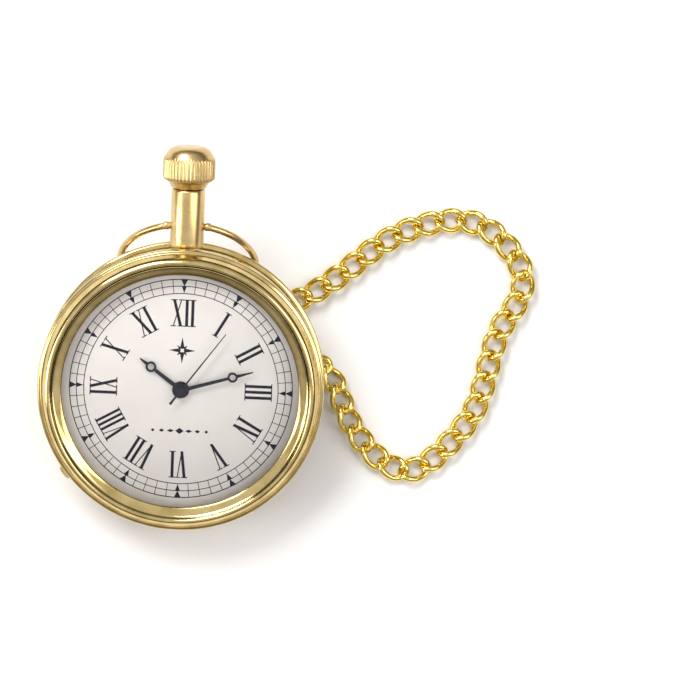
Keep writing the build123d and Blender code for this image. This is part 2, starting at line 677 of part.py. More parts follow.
def setting_lever():
    """The lever whose pin rides in the stem's groove."""
    body = strap(LEVER_AT, (0.0, 16.4), 0.9, 1.05, 1.4) + strap(LEVER_AT, (4.6, 12.0), 0.8, 1.05, 1.4)
    body += disc(0.8, 1.05, 1.4, LEVER_AT) + disc(0.2, 0.42, 1.05, (0.0, 16.4))
    return body - disc(0.35 + RUN_GAP, 0, 3, LEVER_AT)


def yoke():
    """The lever that moves the clutch."""
    body = strap(YOKE_AT, (-2.6, 12.6), 0.8, 1.05, 1.4) + strap((-2.6, 12.6), (-0.5, 12.6), 0.36, 1.05, 1.4)
    body += disc(0.7, 1.05, 1.4, YOKE_AT)
    return body - disc(0.35 + RUN_GAP, 0, 3, YOKE_AT)


def yoke_spring():
    root = (-8.6, 12.2)
    wire = strap(root, (-4.6, 13.2), 0.3, 1.05, 1.3) + strap(root, (-5.0, 9.6), 0.3, 1.05, 1.3)
    return wire + disc(0.5, 1.0, 1.3, root)


# ---- placing the watch on the table

FOLD = radians(FOLD_DEG)
BOW_REACH = sqrt(BOW_R ** 2 - BOW_INSET ** 2) + BOW_R
BOW_END = (PIVOT_Y - BOW_REACH * cos(FOLD), -BOW_REACH * sin(FOLD))
RIM_LOW = (-(CASE_R - 0.2), RIM_BACK_Z)
SPAN = hypot(BOW_END[0] - RIM_LOW[0], RIM_LOW[1] - BOW_END[1])
TILT_DEG = degrees(atan2(RIM_LOW[1] - BOW_END[1], BOW_END[0] - RIM_LOW[0]) + asin(BOW_WIRE_R / SPAN))


# ---- the chain, drawn where it lies on the table

JUMP_RING_R, JUMP_WIRE_R = 1.9, 0.45
JUMP_RING_AT = (7.0, 9.32, 2.46)
END_LINK = (5.1, 3.5, 0.45)          # length, width and wire radius
END_LINK_AT = (8.17, 7.55, 1.76)
END_LINK_ROLL = 21.6
CHAIN_ROUTE = (
    (9.2, 7.55), (14.2, 7.8), (19.3, 9.4), (23.9, 12.2), (28.2, 15.6), (32.2, 19.2), (36.4, 22.3), (41.0, 24.3),
    (46.2, 25.6), (51.2, 25.4), (55.2, 22.9), (58.6, 19.2), (60.3, 15.2), (58.9, 10.6), (56.0, 6.3), (54.6, 1.3),
    (53.6, -4.0), (52.0, -9.2), (48.7, -13.9), (44.9, -18.0), (40.6, -20.6), (36.0, -19.0), (32.4, -15.6),
    (29.4, -11.2), (27.6, -6.4), (25.6, -2.6), (21.8, -0.8), (16.4, -1.7),
)
CLASP_Z = 1.75
CLASP_MID, CLASP_R, CLASP_BORE, CLASP_HALF = 7.6, 2.9, 1.75, 1.5
GATE = (100, 162)
GATE_PIN_R = 2.35
TAIL_RING_R, TAIL_GAP = 1.75, 0.3


def link(length, width, wire_r):
    """One link: a flat oval of round wire, its long axis along X."""
    r, s = width / 2 - wire_r, (length - width) / 2
    path = Wire([Line((-s, -r), (s, -r)), ThreePointArc((s, -r), (s + r, 0), (s, r)),
                 Line((s, r), (-s, r)), ThreePointArc((-s, r), (-s - r, 0), (-s, -r))])
    return sweep(Plane(origin=(-s, -r, 0), z_dir=(1, 0, 0)) * Circle(wire_r), path)


def route_line(points):
    """Straight runs joined by arcs as large as the runs allow."""
    corners = [Vector(*point, 0) for point in points]
    radii = []
    for before, corner, after in zip(corners, corners[1:], corners[2:]):
        coming, going = corner - before, after - corner
        turn = radians(coming.get_angle(going))
        radii.append(0.45 * min(coming.length, going.length) / tan(turn / 2))
    return FilletPolyline(*corners, radius=radii)


def link_share(n, length):
    """How far along the route, from 0 to 1, a link's middle lies."""
    return (LINK_LENGTH / 2 - LINK_WIRE_R + n * LINK_PITCH) / length


def link_roll(n):
    """Neighbours stand a quarter turn apart, and the whole row rolls over at its two ends."""
    start = max(0.0, 1 - n / 6)
    end = max(0.0, 1 - (LINK_COUNT - 1 - n) / 8)
    side = -45 if n % 2 == 0 else 45
    return side - 18 * start + 45 * end


def chain_links():
    line = route_line(CHAIN_ROUTE)
    one, made = link(LINK_LENGTH, LINK_WIDTH, LINK_WIRE_R), []
    for n in range(LINK_COUNT):
        share = link_share(n, line.length)
        at, along, roll = line @ share, line % share, link_roll(n)
        height = (LINK_WIDTH / 2 - LINK_WIRE_R) * abs(sin(radians(roll))) + LINK_WIRE_R + 0.06
        spot = Plane(origin=(at.X, at.Y, height), x_dir=(along.X, along.Y, 0), z_dir=(0, 0, 1))
        made.append(spot.location * Rot(roll, 0, 0) * one)
    made.append(Pos(*END_LINK_AT) * Rot(END_LINK_ROLL, 0, 0) * link(*END_LINK))
    print("links", len(made), "length", round(line.length, 1))
    return made


def jump_ring():
    """The ring that holds the chain on the bow."""
    return Pos(*JUMP_RING_AT) * Rot(0, 90, 0) * Torus(JUMP_RING_R, JUMP_WIRE_R)


def clasp_place():
    """The clasp lies flat past the last link, which hangs in its tail ring."""
    line = route_line(CHAIN_ROUTE)
    share = link_share(LINK_COUNT - 1, line.length)
    last, along = line @ share, line % share
    reach = LINK_LENGTH / 2 - LINK_WIRE_R + TAIL_RING_R - LINK_WIRE_R - 0.45 - TAIL_GAP
    return Plane(origin=(last.X + along.X * reach, last.Y + along.Y * reach, CLASP_Z),
                 x_dir=(along.X, along.Y, 0), z_dir=(0, 0, 1)).location


def gate_sector(first, last, outer, inner, low, high):
    """A piece of the clasp's ring between two angles."""
    corners = ((0, 0), polar(6, first), polar(6, (first + last) / 2), polar(6, last))
    return Pos(CLASP_MID, 0, 0) * (ring(outer, inner, low, high) & plate(corners, low, high))


def clasp_body():
    """The claw, its neck, the wire ring of its tail, and the two ears with the gate's pin."""
    pin = beside((CLASP_MID, 0), GATE_PIN_R, GATE[1] + 3)
    claw = ring(CLASP_R, CLASP_BORE, -CLASP_HALF, CLASP_HALF, (CLASP_MID, 0))
    claw += strap((2.6, 0), (5.1, 0), 2.2, -1.1, 1.1)
    claw -= gate_sector(GATE[0] - 4, GATE[1] + 8, 4, 1, -2, 2)
    claw -= disc(0.95, -0.5, 0.5, pin)
    for low, high in ((-CLASP_HALF, -0.5), (0.5, CLASP_HALF)):
        claw += disc(0.95, low, high, pin) + strap((4.9, 0.4), pin, 1.1, low, high)
    claw += disc(0.35, -CLASP_HALF, CLASP_HALF, pin)
    return clasp_place() * (claw + Torus(TAIL_RING_R, 0.45))


def clasp_lever():
    """The sprung gate that closes the claw, with its thumb tab."""
    gate = gate_sector(GATE[0], GATE[1] - 6, CLASP_R - 0.1, CLASP_BORE + 0.1, -0.42, 0.42)
    pin = beside((CLASP_MID, 0), GATE_PIN_R, GATE[1] + 3)
    gate += disc(0.75, -0.42, 0.42, pin)
    gate += strap(pin, beside((CLASP_MID, 0), GATE_PIN_R, GATE[1] - 12), 0.8, -0.42, 0.42)
    gate += strap(pin, (pin[0] - 1.0, pin[1] + 1.5), 0.7, -0.42, 0.42)
    return clasp_place() * (gate - disc(0.35 + RUN_GAP, -2, 2, pin))


def watch_parts():
    """Every piece of the watch, in the watch's own frame."""
    makers = (
        case_band, bezel, crystal, crystal_gasket, back_cover, pendant, pendant_sleeve, bow, crown,
        crown_gasket, winding_stem, dial, hour_hand, minute_hand, second_hand, movement_ring, case_clamps,
        mainplate, barrel_bridge, train_bridge, pallet_bridge, balance_cock, regulator, jewels,
        bridge_screws, case_screws, barrel_drum, barrel_cover, barrel_arbor, mainspring, ratchet_wheel,
        ratchet_screw, centre_wheel, third_wheel, fourth_wheel, escape_wheel, pallet_fork, pallet_stones,
        balance_wheel, hairspring, cannon_pinion, minute_wheel, hour_wheel, setting_wheel, dial_side_posts,
        winding_pinion, sliding_clutch, crown_wheel, crown_wheel_core, click, click_screw, click_spring,
        setting_lever, yoke, yoke_spring,
    )
    return {maker.__name__: maker() for maker in makers}


def as_solids(shape):
    """One shape or a list of them, as a flat list of solids."""
    shapes = shape if isinstance(shape, list) else [shape]
    return [solid for piece in shapes for solid in piece.solids()]


def save(name, shape, place):
    solids = [place * solid for solid in as_solids(shape)]
    export_step(solids[0] if len(solids) == 1 else Compound(children=solids), f"parts/{name}.step")


os.makedirs("parts", exist_ok=True)
pieces = watch_parts()
tilted = Rot(TILT_DEG, 0, 0)
boxes = [(tilted * solid).bounding_box() for shape in pieces.values() for solid in as_solids(shape)]
floor_z = min(box.min.Z for box in boxes)
middle_y = (min(box.min.Y for box in boxes) + max(box.max.Y for box in boxes)) / 2
middle_x = (min(box.min.X for box in boxes) + max(box.max.X for box in boxes)) / 2
PLACE = Pos(-middle_x, -middle_y, -floor_z) * tilted
for name, shape in pieces.items():
    save(name, shape, PLACE)
for maker in (chain_links, jump_ring, clasp_body, clasp_lever):
    save(maker.__name__, maker(), Location())
print("tilt", round(TILT_DEG, 3), "offset", round(-middle_x, 3), round(-middle_y, 3), round(-floor_z, 3))
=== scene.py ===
"""Looks of the open face pocket watch: its pieces are turned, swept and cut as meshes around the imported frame."""
import json
import math
import bmesh
import bpy
from mathutils import Matrix, Vector


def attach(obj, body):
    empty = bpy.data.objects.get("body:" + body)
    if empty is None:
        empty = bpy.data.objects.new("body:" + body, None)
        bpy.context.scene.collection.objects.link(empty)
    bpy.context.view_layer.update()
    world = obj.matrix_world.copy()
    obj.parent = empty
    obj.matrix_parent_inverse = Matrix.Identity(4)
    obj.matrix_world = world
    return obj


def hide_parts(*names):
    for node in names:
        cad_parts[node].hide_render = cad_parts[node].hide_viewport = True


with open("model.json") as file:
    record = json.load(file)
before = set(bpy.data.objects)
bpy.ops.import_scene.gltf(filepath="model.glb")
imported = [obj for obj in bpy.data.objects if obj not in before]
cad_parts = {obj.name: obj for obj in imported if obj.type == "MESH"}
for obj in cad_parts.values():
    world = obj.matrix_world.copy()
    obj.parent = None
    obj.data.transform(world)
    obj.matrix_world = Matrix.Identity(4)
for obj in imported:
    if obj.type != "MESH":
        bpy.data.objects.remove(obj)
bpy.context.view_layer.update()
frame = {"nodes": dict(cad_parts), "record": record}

MM = 0.001
TILT = math.radians(18.79)
WATCH = Matrix.Translation((0, -0.007883, 0.012722)) @ Matrix.Rotation(TILT, 4, "X")
LYING = Matrix.Identity(4)
AXIS_Y = Matrix.Rotation(-math.pi / 2, 4, "X")       # a lathe's +Z laid along the watch's +Y


# ---- the camera, which looks down at the watch from the photograph's angle

def aim_camera():
    data = bpy.data.cameras.new("camera")
    data.sensor_width, data.lens = 36, 181.9
    data.clip_start, data.clip_end = 0.01, 20
    camera = bpy.data.objects.new("camera", data)
    bpy.context.scene.collection.objects.link(camera)
    lean, roll = math.radians(7.5), math.radians(2.5)
    back = Vector((0, -math.sin(lean), math.cos(lean)))
    up = Vector((0, math.cos(lean), math.sin(lean)))
    side = Vector((1, 0, 0))
    right = side * math.cos(roll) + up * math.sin(roll)
    top = up * math.cos(roll) - side * math.sin(roll)
    turn = Matrix((right, top, back)).transposed().to_4x4()
    camera.matrix_world = Matrix.Translation((0.02733, -0.07736, 0.6116)) @ turn
    bpy.context.scene.camera = camera


aim_camera()
bpy.context.scene.view_settings.view_transform = "Standard"


# ---- mesh building

def add_object(name, bm, place, smooth_deg=38, bevel=0.0):
    """The mesh, given in millimetres, as an object; its edges over smooth_deg stay sharp."""
    bmesh.ops.recalc_face_normals(bm, faces=bm.faces)
    bmesh.ops.scale(bm, vec=(MM, MM, MM), verts=bm.verts)
    for edge in bm.edges:
        edge.smooth = len(edge.link_faces) != 2 or edge.calc_face_angle() < math.radians(smooth_deg)
    for face in bm.faces:
        face.smooth = True
    mesh = bpy.data.meshes.new(name)
    bm.to_mesh(mesh)
    bm.free()
    piece = bpy.data.objects.new(name, mesh)
    bpy.context.scene.collection.objects.link(piece)
    piece.matrix_world = place
    if bevel:
        rounding = piece.modifiers.new("rounding", "BEVEL")
        rounding.width, rounding.segments = bevel * MM, 3
        rounding.limit_method, rounding.angle_limit = "ANGLE", math.radians(22)
    return piece


def grid_faces(bm, rows, closed_rows):
    """Quads between neighbouring rows of vertices, each row a closed ring."""
    pairs = list(zip(rows, rows[1:])) + ([(rows[-1], rows[0])] if closed_rows else [])
    for low, high in pairs:
        count = max(len(low), len(high))
        for n in range(count):
            corners = [low[n % len(low)], low[(n + 1) % len(low)], high[(n + 1) % len(high)], high[n % len(high)]]
            corners = [v for i, v in enumerate(corners) if v not in corners[:i]]
            if len(corners) > 2:
                bm.faces.new(corners)


def turned(name, outline, place, segments=192, bevel=0.0, radius_of=None, smooth_deg=38):
    """A profile of (radius, height) points turned about the local Z axis."""
    bm = bmesh.new()
    rows = []
    for r, z in outline:
        if r == 0:
            rows.append([bm.verts.new((0, 0, z))])
            continue
        ring = []
        for n in range(segments):
            angle = 2 * math.pi * n / segments
            rr = radius_of(r, z, angle) if radius_of else r
            ring.append(bm.verts.new((rr * math.cos(angle), rr * math.sin(angle), z)))
        rows.append(ring)
    grid_faces(bm, rows, True)
    return add_object(name, bm, place, smooth_deg=smooth_deg, bevel=bevel)


def tube_into(bm, points, wire_r, closed=True, sides=14):
    """A round wire along the points."""
    count = len(points)
    rows = []
    normal = None
    for n, point in enumerate(points):
        before = points[(n - 1) % count] if closed or n else point
        after = points[(n + 1) % count] if closed or n < count - 1 else point
        along = (after - before).normalized()
        if normal is None:
            normal = along.orthogonal().normalized()
        normal = (normal - along * normal.dot(along)).normalized()
        other = along.cross(normal)
        ring = []
        for s in range(sides):
            angle = 2 * math.pi * s / sides
            ring.append(bm.verts.new(point + wire_r * (normal * math.cos(angle) + other * math.sin(angle))))
        rows.append(ring)
    if not closed:
        grid_faces(bm, rows, False)
        bm.faces.new(rows[0])
        bm.faces.new(rows[-1])
        return
    # the last ring meets the first where their corners are nearest
    first, last = rows[0], rows[-1]
    shift = min(range(sides), key=lambda k: (last[0].co - first[k].co).length)
    rows.append(first[shift:] + first[:shift])
    grid_faces(bm, rows, False)


def slab_into(bm, corners, low, high):
    """A flat plate with the given outline."""
    bottom = [bm.verts.new((x, y, low)) for x, y in corners]
    top = [bm.verts.new((x, y, high)) for x, y in corners]
    count = len(corners)
    bm.faces.new(top)
    bm.faces.new(bottom)
    for n in range(count):
        m = (n + 1) % count
        bm.faces.new((bottom[n], bottom[m], top[m], top[n]))


def polar(r, degrees):
    return (r * math.cos(math.radians(degrees)), r * math.sin(math.radians(degrees)))


def spun(points, degrees, at=(0, 0)):
    c, s = math.cos(math.radians(degrees)), math.sin(math.radians(degrees))
    return [(at[0] + x * c - y * s, at[1] + x * s + y * c) for x, y in points]


# ---- materials

def new_material(name):
    material = bpy.data.materials.new(name)
    material.use_nodes = True
    nodes, links = material.node_tree.nodes, material.node_tree.links
    return material, nodes, links, nodes["Principled BSDF"]


def scaled_place(nodes, links, scale):
    """The piece's own coordinates, stretched by scale."""
    where = nodes.new("ShaderNodeTexCoord")
    stretch = nodes.new("ShaderNodeMapping")
    stretch.inputs["Scale"].default_value = scale
    links.new(where.outputs["Object"], stretch.inputs["Vector"])
    return stretch.outputs["Vector"]


def turned_place(nodes, links, scale):
    """(angle, radius, height) about the piece's own Z axis, stretched by scale: grain that runs round a lathe."""
    where = nodes.new("ShaderNodeTexCoord")
    split = nodes.new("ShaderNodeSeparateXYZ")
    links.new(where.outputs["Object"], split.inputs["Vector"])
    angle = nodes.new("ShaderNodeMath")
    angle.operation = "ARCTAN2"
    links.new(split.outputs["Y"], angle.inputs[0])
    links.new(split.outputs["X"], angle.inputs[1])
    flat = nodes.new("ShaderNodeCombineXYZ")
    links.new(split.outputs["X"], flat.inputs["X"])
    links.new(split.outputs["Y"], flat.inputs["Y"])
    radius = nodes.new("ShaderNodeVectorMath")
    radius.operation = "LENGTH"
    links.new(flat.outputs["Vector"], radius.inputs[0])
    joined = nodes.new("ShaderNodeCombineXYZ")
    links.new(angle.outputs["Value"], joined.inputs["X"])
    links.new(radius.outputs["Value"], joined.inputs["Y"])
    links.new(split.outputs["Z"], joined.inputs["Z"])
    stretch = nodes.new("ShaderNodeMapping")
    stretch.inputs["Scale"].default_value = scale
    links.new(joined.outputs["Vector"], stretch.inputs["Vector"])
    return stretch.outputs["Vector"]


def noise(nodes, links, place, detail=3.0, rough=0.55):
    texture = nodes.new("ShaderNodeTexNoise")
    texture.inputs["Scale"].default_value = 1.0
    texture.inputs["Detail"].default_value = detail
    texture.inputs["Roughness"].default_value = rough
    links.new(place, texture.inputs["Vector"])
    return texture.outputs["Fac"]


def ramp(nodes, links, value, low, high, start=0.3, end=0.7):
    """Maps a value onto colours from low to high."""
    stops = nodes.new("ShaderNodeValToRGB")
    first, last = stops.color_ramp.elements
    first.position, last.position = start, end
    first.color, last.color = (*low, 1), (*high, 1)
    links.new(value, stops.inputs["Fac"])
    return stops.outputs["Color"]


def grey(value):
    return (value, value, value)


def bump(nodes, links, height, bsdf, strength, distance):
    node = nodes.new("ShaderNodeBump")
    node.inputs["Strength"].default_value = strength
    node.inputs["Distance"].default_value = distance
    links.new(height, node.inputs["Height"])
    links.new(node.outputs["Normal"], bsdf.inputs["Normal"])


def metal(name, dark, light, rough, grain=None, patch=260, strength=0.3):
    """Bare or plated metal: cloudy tone, roughness that varies, and a fine grain. The grain is "turned", round the
    piece's own Z axis, or "plain", with its scale along each axis."""
    material, nodes, links, bsdf = new_material(name)
    bsdf.inputs["Metallic"].default_value = 1.0
    cloud = noise(nodes, links, scaled_place(nodes, links, (patch, patch, patch)), 4)
    links.new(ramp(nodes, links, cloud, dark, light), bsdf.inputs["Base Color"])
    kind, scale = grain or ("plain", (2500, 2500, 2500))
    spread = turned_place if kind == "turned" else scaled_place
    fine = noise(nodes, links, spread(nodes, links, scale), 2, 0.6)
    links.new(ramp(nodes, links, fine, grey(rough[0]), grey(rough[1])), bsdf.inputs["Roughness"])
    bump(nodes, links, fine, bsdf, strength, 0.00001)
    return material


def coated(name, dark, light, rough, coat=0.0, patch=400, specular=0.5):
    """Lacquer, plastic or rubber."""
    material, nodes, links, bsdf = new_material(name)
    cloud = noise(nodes, links, scaled_place(nodes, links, (patch, patch, patch)), 5)
    links.new(ramp(nodes, links, cloud, dark, light), bsdf.inputs["Base Color"])
    bsdf.inputs["Roughness"].default_value = rough
    bsdf.inputs["Specular IOR Level"].default_value = specular
    bsdf.inputs["Coat Weight"].default_value = coat
    bsdf.inputs["Coat Roughness"].default_value = 0.08
    fine = noise(nodes, links, scaled_place(nodes, links, (6000, 6000, 6000)), 2)
    bump(nodes, links, fine, bsdf, 0.15, 0.000004)
    return material


def clear_glass(name):
    """Clear crystal: it shows only what it mirrors, by Fresnel, over what lies under it."""
    material, nodes, links, bsdf = new_material(name)
    bsdf.inputs["Metallic"].default_value = 1.0
    bsdf.inputs["Base Color"].default_value = (0.98, 0.98, 0.97, 1)
    smudge = noise(nodes, links, scaled_place(nodes, links, (180, 180, 180)), 4)
    links.new(ramp(nodes, links, smudge, grey(0.015), grey(0.05)), bsdf.inputs["Roughness"])
    facing = nodes.new("ShaderNodeFresnel")
    facing.inputs["IOR"].default_value = 1.28
    links.new(facing.outputs["Fac"], bsdf.inputs["Alpha"])
    return material


looks = {
    "polished_brass": metal("polished_brass", (0.52, 0.38, 0.14), (0.78, 0.61, 0.28), (0.06, 0.15),
                            ("turned", (3, 9000, 9000)), strength=0.2),
    "satin_brass": metal("satin_brass", (0.58, 0.41, 0.17), (0.74, 0.56, 0.27), (0.22, 0.34),
                         ("plain", (9000, 900, 9000)), strength=0.35),
    "gold_chain": metal("gold_chain", (0.78, 0.57, 0.12), (0.93, 0.74, 0.24), (0.08, 0.17), patch=700),
    "crystal_glass": clear_glass("crystal_glass"),
    "dial_cream": coated("dial_cream", (0.78, 0.74, 0.70), (0.83, 0.80, 0.76), 0.32, coat=0.2, patch=120),
    "blued_hands": coated("blued_hands", (0.006, 0.006, 0.014), (0.014, 0.014, 0.028), 0.28, specular=0.25),
    "nickel_plate": metal("nickel_plate", (0.58, 0.56, 0.52), (0.72, 0.70, 0.65), (0.24, 0.38),
                          ("plain", (700, 9000, 9000))),
    "movement_brass": metal("movement_brass", (0.66, 0.48, 0.22), (0.80, 0.62, 0.32), (0.18, 0.32),
                            ("plain", (5000, 5000, 5000))),
    "steel": metal("steel", (0.50, 0.50, 0.52), (0.66, 0.66, 0.68), (0.14, 0.28), ("plain", (1200, 8000, 8000))),
    "blue_steel": metal("blue_steel", (0.05, 0.08, 0.28), (0.10, 0.16, 0.42), (0.12, 0.24)),
    "ruby": coated("ruby", (0.36, 0.01, 0.06), (0.55, 0.03, 0.12), 0.12, coat=0.8, patch=1500),
    "seal_rubber": coated("seal_rubber", (0.02, 0.02, 0.02), (0.04, 0.04, 0.04), 0.7),
    "ring_plastic": coated("ring_plastic", (0.74, 0.73, 0.69), (0.82, 0.81, 0.77), 0.5),
}
INK = coated("dial_ink", (0.006, 0.006, 0.016), (0.014, 0.014, 0.028), 0.5, specular=0.1)

for row in frame["record"]["subparts"]:
    node = frame["nodes"][row["node"]]
    node.data.materials.clear()
    node.data.materials.append(looks[row["material_slot"]])


def finish_piece(piece, slot, body, nodes, material=None):
    piece.data.materials.append(material or looks[slot])
    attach(piece, body)
    if nodes:
        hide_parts(*nodes)
    return piece


# ---- the case

def arc_profile(points, steps):
    """The outline with extra points between its corners, on a Catmull-Rom curve."""
    out = []
    count = len(points)
    for n in range(count - 1):
        p0, p1 = Vector(points[max(n - 1, 0)]), Vector(points[n])
        p2, p3 = Vector(points[n + 1]), Vector(points[min(n + 2, count - 1)])
        for k in range(steps):
            t = k / steps
            out.append(tuple(0.5 * (2 * p1 + (p2 - p0) * t + (2 * p0 - 5 * p1 + 4 * p2 - p3) * t * t
                                    + (3 * p1 - p0 - 3 * p2 + p3) * t ** 3)))
    return out + [tuple(points[-1])]


band = turned("case_band_shell", [(21.6, -3.6)] + arc_profile(
    [(24.1, -3.6), (23.62, -2.7), (23.38, -1.4), (23.3, 0), (23.38, 1.4), (23.62, 2.7), (24.1, 3.6)], 4)
    + [(21.6, 3.6)], WATCH, bevel=0.05)
finish_piece(band, "polished_brass", "case", ["case_band"])

bezel = turned("bezel_ring", [
    (21.6, 3.6), (24.60, 3.6), (24.88, 3.72), (25.0, 3.98), (25.0, 4.66), (24.92, 4.92), (24.72, 5.06), (24.44, 5.06),
    (24.32, 5.16), (24.22, 5.36), (24.06, 5.62), (23.92, 5.98), (23.72, 6.36), (23.46, 6.66), (23.18, 6.83),
    (22.92, 6.90), (22.70, 6.84), (22.52, 6.68), (22.38, 6.42), (22.24, 6.26), (21.98, 6.14), (21.5, 5.98),
    (20.86, 5.80), (20.72, 5.70), (20.7, 5.45), (22.35, 5.45), (22.35, 4.9), (21.0, 4.9), (21.0, 4.4), (21.6, 4.1)],
    WATCH, segments=256, smooth_deg=50)
lip = bmesh.new()
slab_into(lip, [polar(24.7, 214.4), polar(25.3, 215.2), polar(25.52, 216.6), polar(25.54, 218), polar(25.52, 219.4),
                polar(25.3, 220.8), polar(24.7, 221.6)], 3.98, 4.62)
lip = add_object("bezel_lip", lip, WATCH, bevel=0.08)
finish_piece(bezel, "polished_brass", "case", ["bezel"])
finish_piece(lip, "polished_brass", "case", [])

back = turned("back_cover_shell", [(21.5, -2.9), (21.5, -3.6), (24.1, -3.6)] + arc_profile(
    [(24.8, -3.68), (25.0, -3.95), (25.0, -4.62), (24.86, -4.9), (24.4, -5.06), (23.2, -5.36), (21.5, -5.75),
     (19.6, -6.14), (18.2, -6.36), (17.2, -6.4)], 3) + [(0, -6.4), (0, -5.8), (17.5, -5.8), (20.9, -5.1),
                                                   (20.9, -2.9)], WATCH, smooth_deg=50)
finish_piece(back, "polished_brass", "case", ["back_cover"])


def dome_height(r, top, edge_r, rise):
    ball = (edge_r ** 2 + rise ** 2) / (2 * rise)
    return top - ball + math.sqrt(ball ** 2 - r ** 2)


upper = [(r, dome_height(r, 7.7, 20.6, 2.3)) for r in [20.6 - 0.6 * n for n in range(35)] if r > 0.2] + [(0, 7.7)]
lower = [(0, 6.8)] + [(r, dome_height(r, 6.8, 19.9, 1.9)) for r in [0.7 * n for n in range(1, 29)]]
crystal = turned("domed_crystal", [(22.0, 4.9), (22.0, 5.4)] + upper + lower + [(19.9, 4.9)], WATCH, smooth_deg=60)
finish_piece(crystal, "crystal_glass", "case", ["crystal"])

# ---- the pendant, the bow and the crown

pendant = turned("pendant_tube", [(0.85, 22.7), (1.2, 22.7), (1.2, 24.66), (1.32, 24.72), (2.5, 24.72), (2.78, 24.78),
                                  (2.92, 24.95), (2.95, 25.2), (2.95, 34.65), (2.88, 34.88), (2.7, 35.0),
                                  (1.9, 35.0), (1.9, 25.9), (0.85, 25.9)],
                 WATCH @ AXIS_Y, segments=128, smooth_deg=45)
finish_piece(pendant, "satin_brass", "case", ["pendant"])
CROWN_LOW, FLUTES = 35.2, 42


def fluted(r, z, angle):
    """The crown's radius, cut by its flutes where the band is."""
    if r < 3.5:
        return r
    height = z - CROWN_LOW
    share = max(0.0, min(1.0, (height - 1.25) / 0.35, (5.35 - height) / 0.4))
    groove = (0.5 + 0.5 * math.cos(FLUTES * angle)) ** 1.6
    return r - 0.17 * share * groove


crown_outline = [(0.62, 36.5), (2.35, 36.5), (2.35, 35.2), (2.95, 35.2), (3.08, 35.32), (3.42, 36.05), (3.6, 36.25),
                 (4.25, 36.62), (4.42, 36.76), (4.53, 36.95), (4.55, 37.2), (4.55, 38.0), (4.55, 39.0), (4.55, 40.0),
                 (4.5, 40.3), (4.36, 40.6), (4.15, 40.95), (3.9, 41.35), (3.62, 41.72), (3.3, 41.98), (3.05, 42.14),
                 (2.8, 42.28), (2.55, 42.37), (2.3, 42.4), (0, 42.4), (0, 40.2), (0.62, 40.2)]
crown = turned("fluted_crown", crown_outline, WATCH @ AXIS_Y, segments=FLUTES * 8, radius_of=fluted, smooth_deg=50)
finish_piece(crown, "satin_brass", "crown_and_stem", ["crown"])


def bow_wire():
    """The round bow, with the swell of wire at each end and its pins."""
    bm = bmesh.new()
    middle = math.sqrt(12.0 ** 2 - 3.4 ** 2)
    start = math.degrees(math.asin(3.6 / 12.0))
    count = 120
    points = []
    for n in range(count + 1):
        x, y = polar(12.0, 90 + start + (360 - 2 * start) * n / count)
        points.append(Vector((x, y - middle, 0)))
    tube_into(bm, points, 0.6, closed=False, sides=20)
    for side in (-1, 1):
        rows = [(2.05, 0.44), (2.12, 0.5), (2.98, 0.5), (3.06, 0.56), (3.14, 0.66), (3.32, 0.72), (3.6, 0.72),
                (3.92, 0.72), (4.1, 0.62), (4.24, 0.42)]
        rings = [[bm.verts.new((side * x, r * math.cos(a), r * math.sin(a)))
                  for a in [2 * math.pi * k / 24 for k in range(24)]] for x, r in rows]
        grid_faces(bm, rings, False)
        bm.faces.new(rings[0])
        bm.faces.new(rings[-1])
    place = WATCH @ Matrix.Translation((0, 28.4 * MM, 0)) @ Matrix.Rotation(math.radians(46), 4, "X")
    return add_object("folded_bow", bm, place, smooth_deg=50)


finish_piece(bow_wire(), "satin_brass", "bow_and_chain", ["bow"])

# ---- the print on the dial

FACE_Z, INK_Z = 2.995, 3.025
dial = turned("dial_plate", [(1.3, 2.6), (21.3, 2.6), (21.3, 2.96), (21.26, 3.0), (1.34, 3.0), (1.3, 2.96)], WATCH,
              segments=192, smooth_deg=30)
finish_piece(dial, "dial_cream", "case", ["dial"])


def print_ring(bm, radius, width, segments=240):
    """A circle printed on the dial."""
    inner, outer = radius - width / 2, radius + width / 2
    rows = []
    for r, z in ((inner, FACE_Z), (inner, INK_Z), (outer, INK_Z), (outer, FACE_Z)):
        rows.append([bm.verts.new((*polar(r, 360 * n / segments), z)) for n in range(segments)])
    grid_faces(bm, rows, True)


def print_shape(bm, corners):
    slab_into(bm, corners, FACE_Z, INK_Z)


def stroke(x0, y0, x1, y1, width):
    """A slanted bar of a numeral, cut level at its foot and head."""
    half = width / 2
    return [(x0 - half, y0), (x0 + half, y0), (x1 + half, y1), (x1 - half, y1)]


THICK, THIN, SERIF, TALL = 0.56, 0.2, 0.17, 4.8


def letter(kind, x):
    """The bars of one condensed letter whose left edge is at x, its width, and where its serifs stand."""
    if kind == "I":
        bars = [stroke(x + 0.55, 0, x + 0.55, TALL, THICK)]
        return bars, 1.1, [(x - 0.06, x + 1.16, 0), (x - 0.06, x + 1.16, 1)]
    if kind == "V":
        bars = [stroke(x + 1.12, 0, x + 0.5, TALL, THICK), stroke(x + 1.12, 0, x + 1.86, TALL, THIN)]
        return bars, 2.3, [(x - 0.12, x + 1.12, 1), (x + 1.32, x + 2.42, 1)]
    bars = [stroke(x + 1.85, 0, x + 0.5, TALL, THICK), stroke(x + 0.42, 0, x + 1.9, TALL, THIN)]
    return bars, 2.4, [(x - 0.1, x + 0.95, 0), (x + 1.26, x + 2.45, 0), (x - 0.1, x + 1.12, 1), (x + 1.36, x + 2.42, 1)]


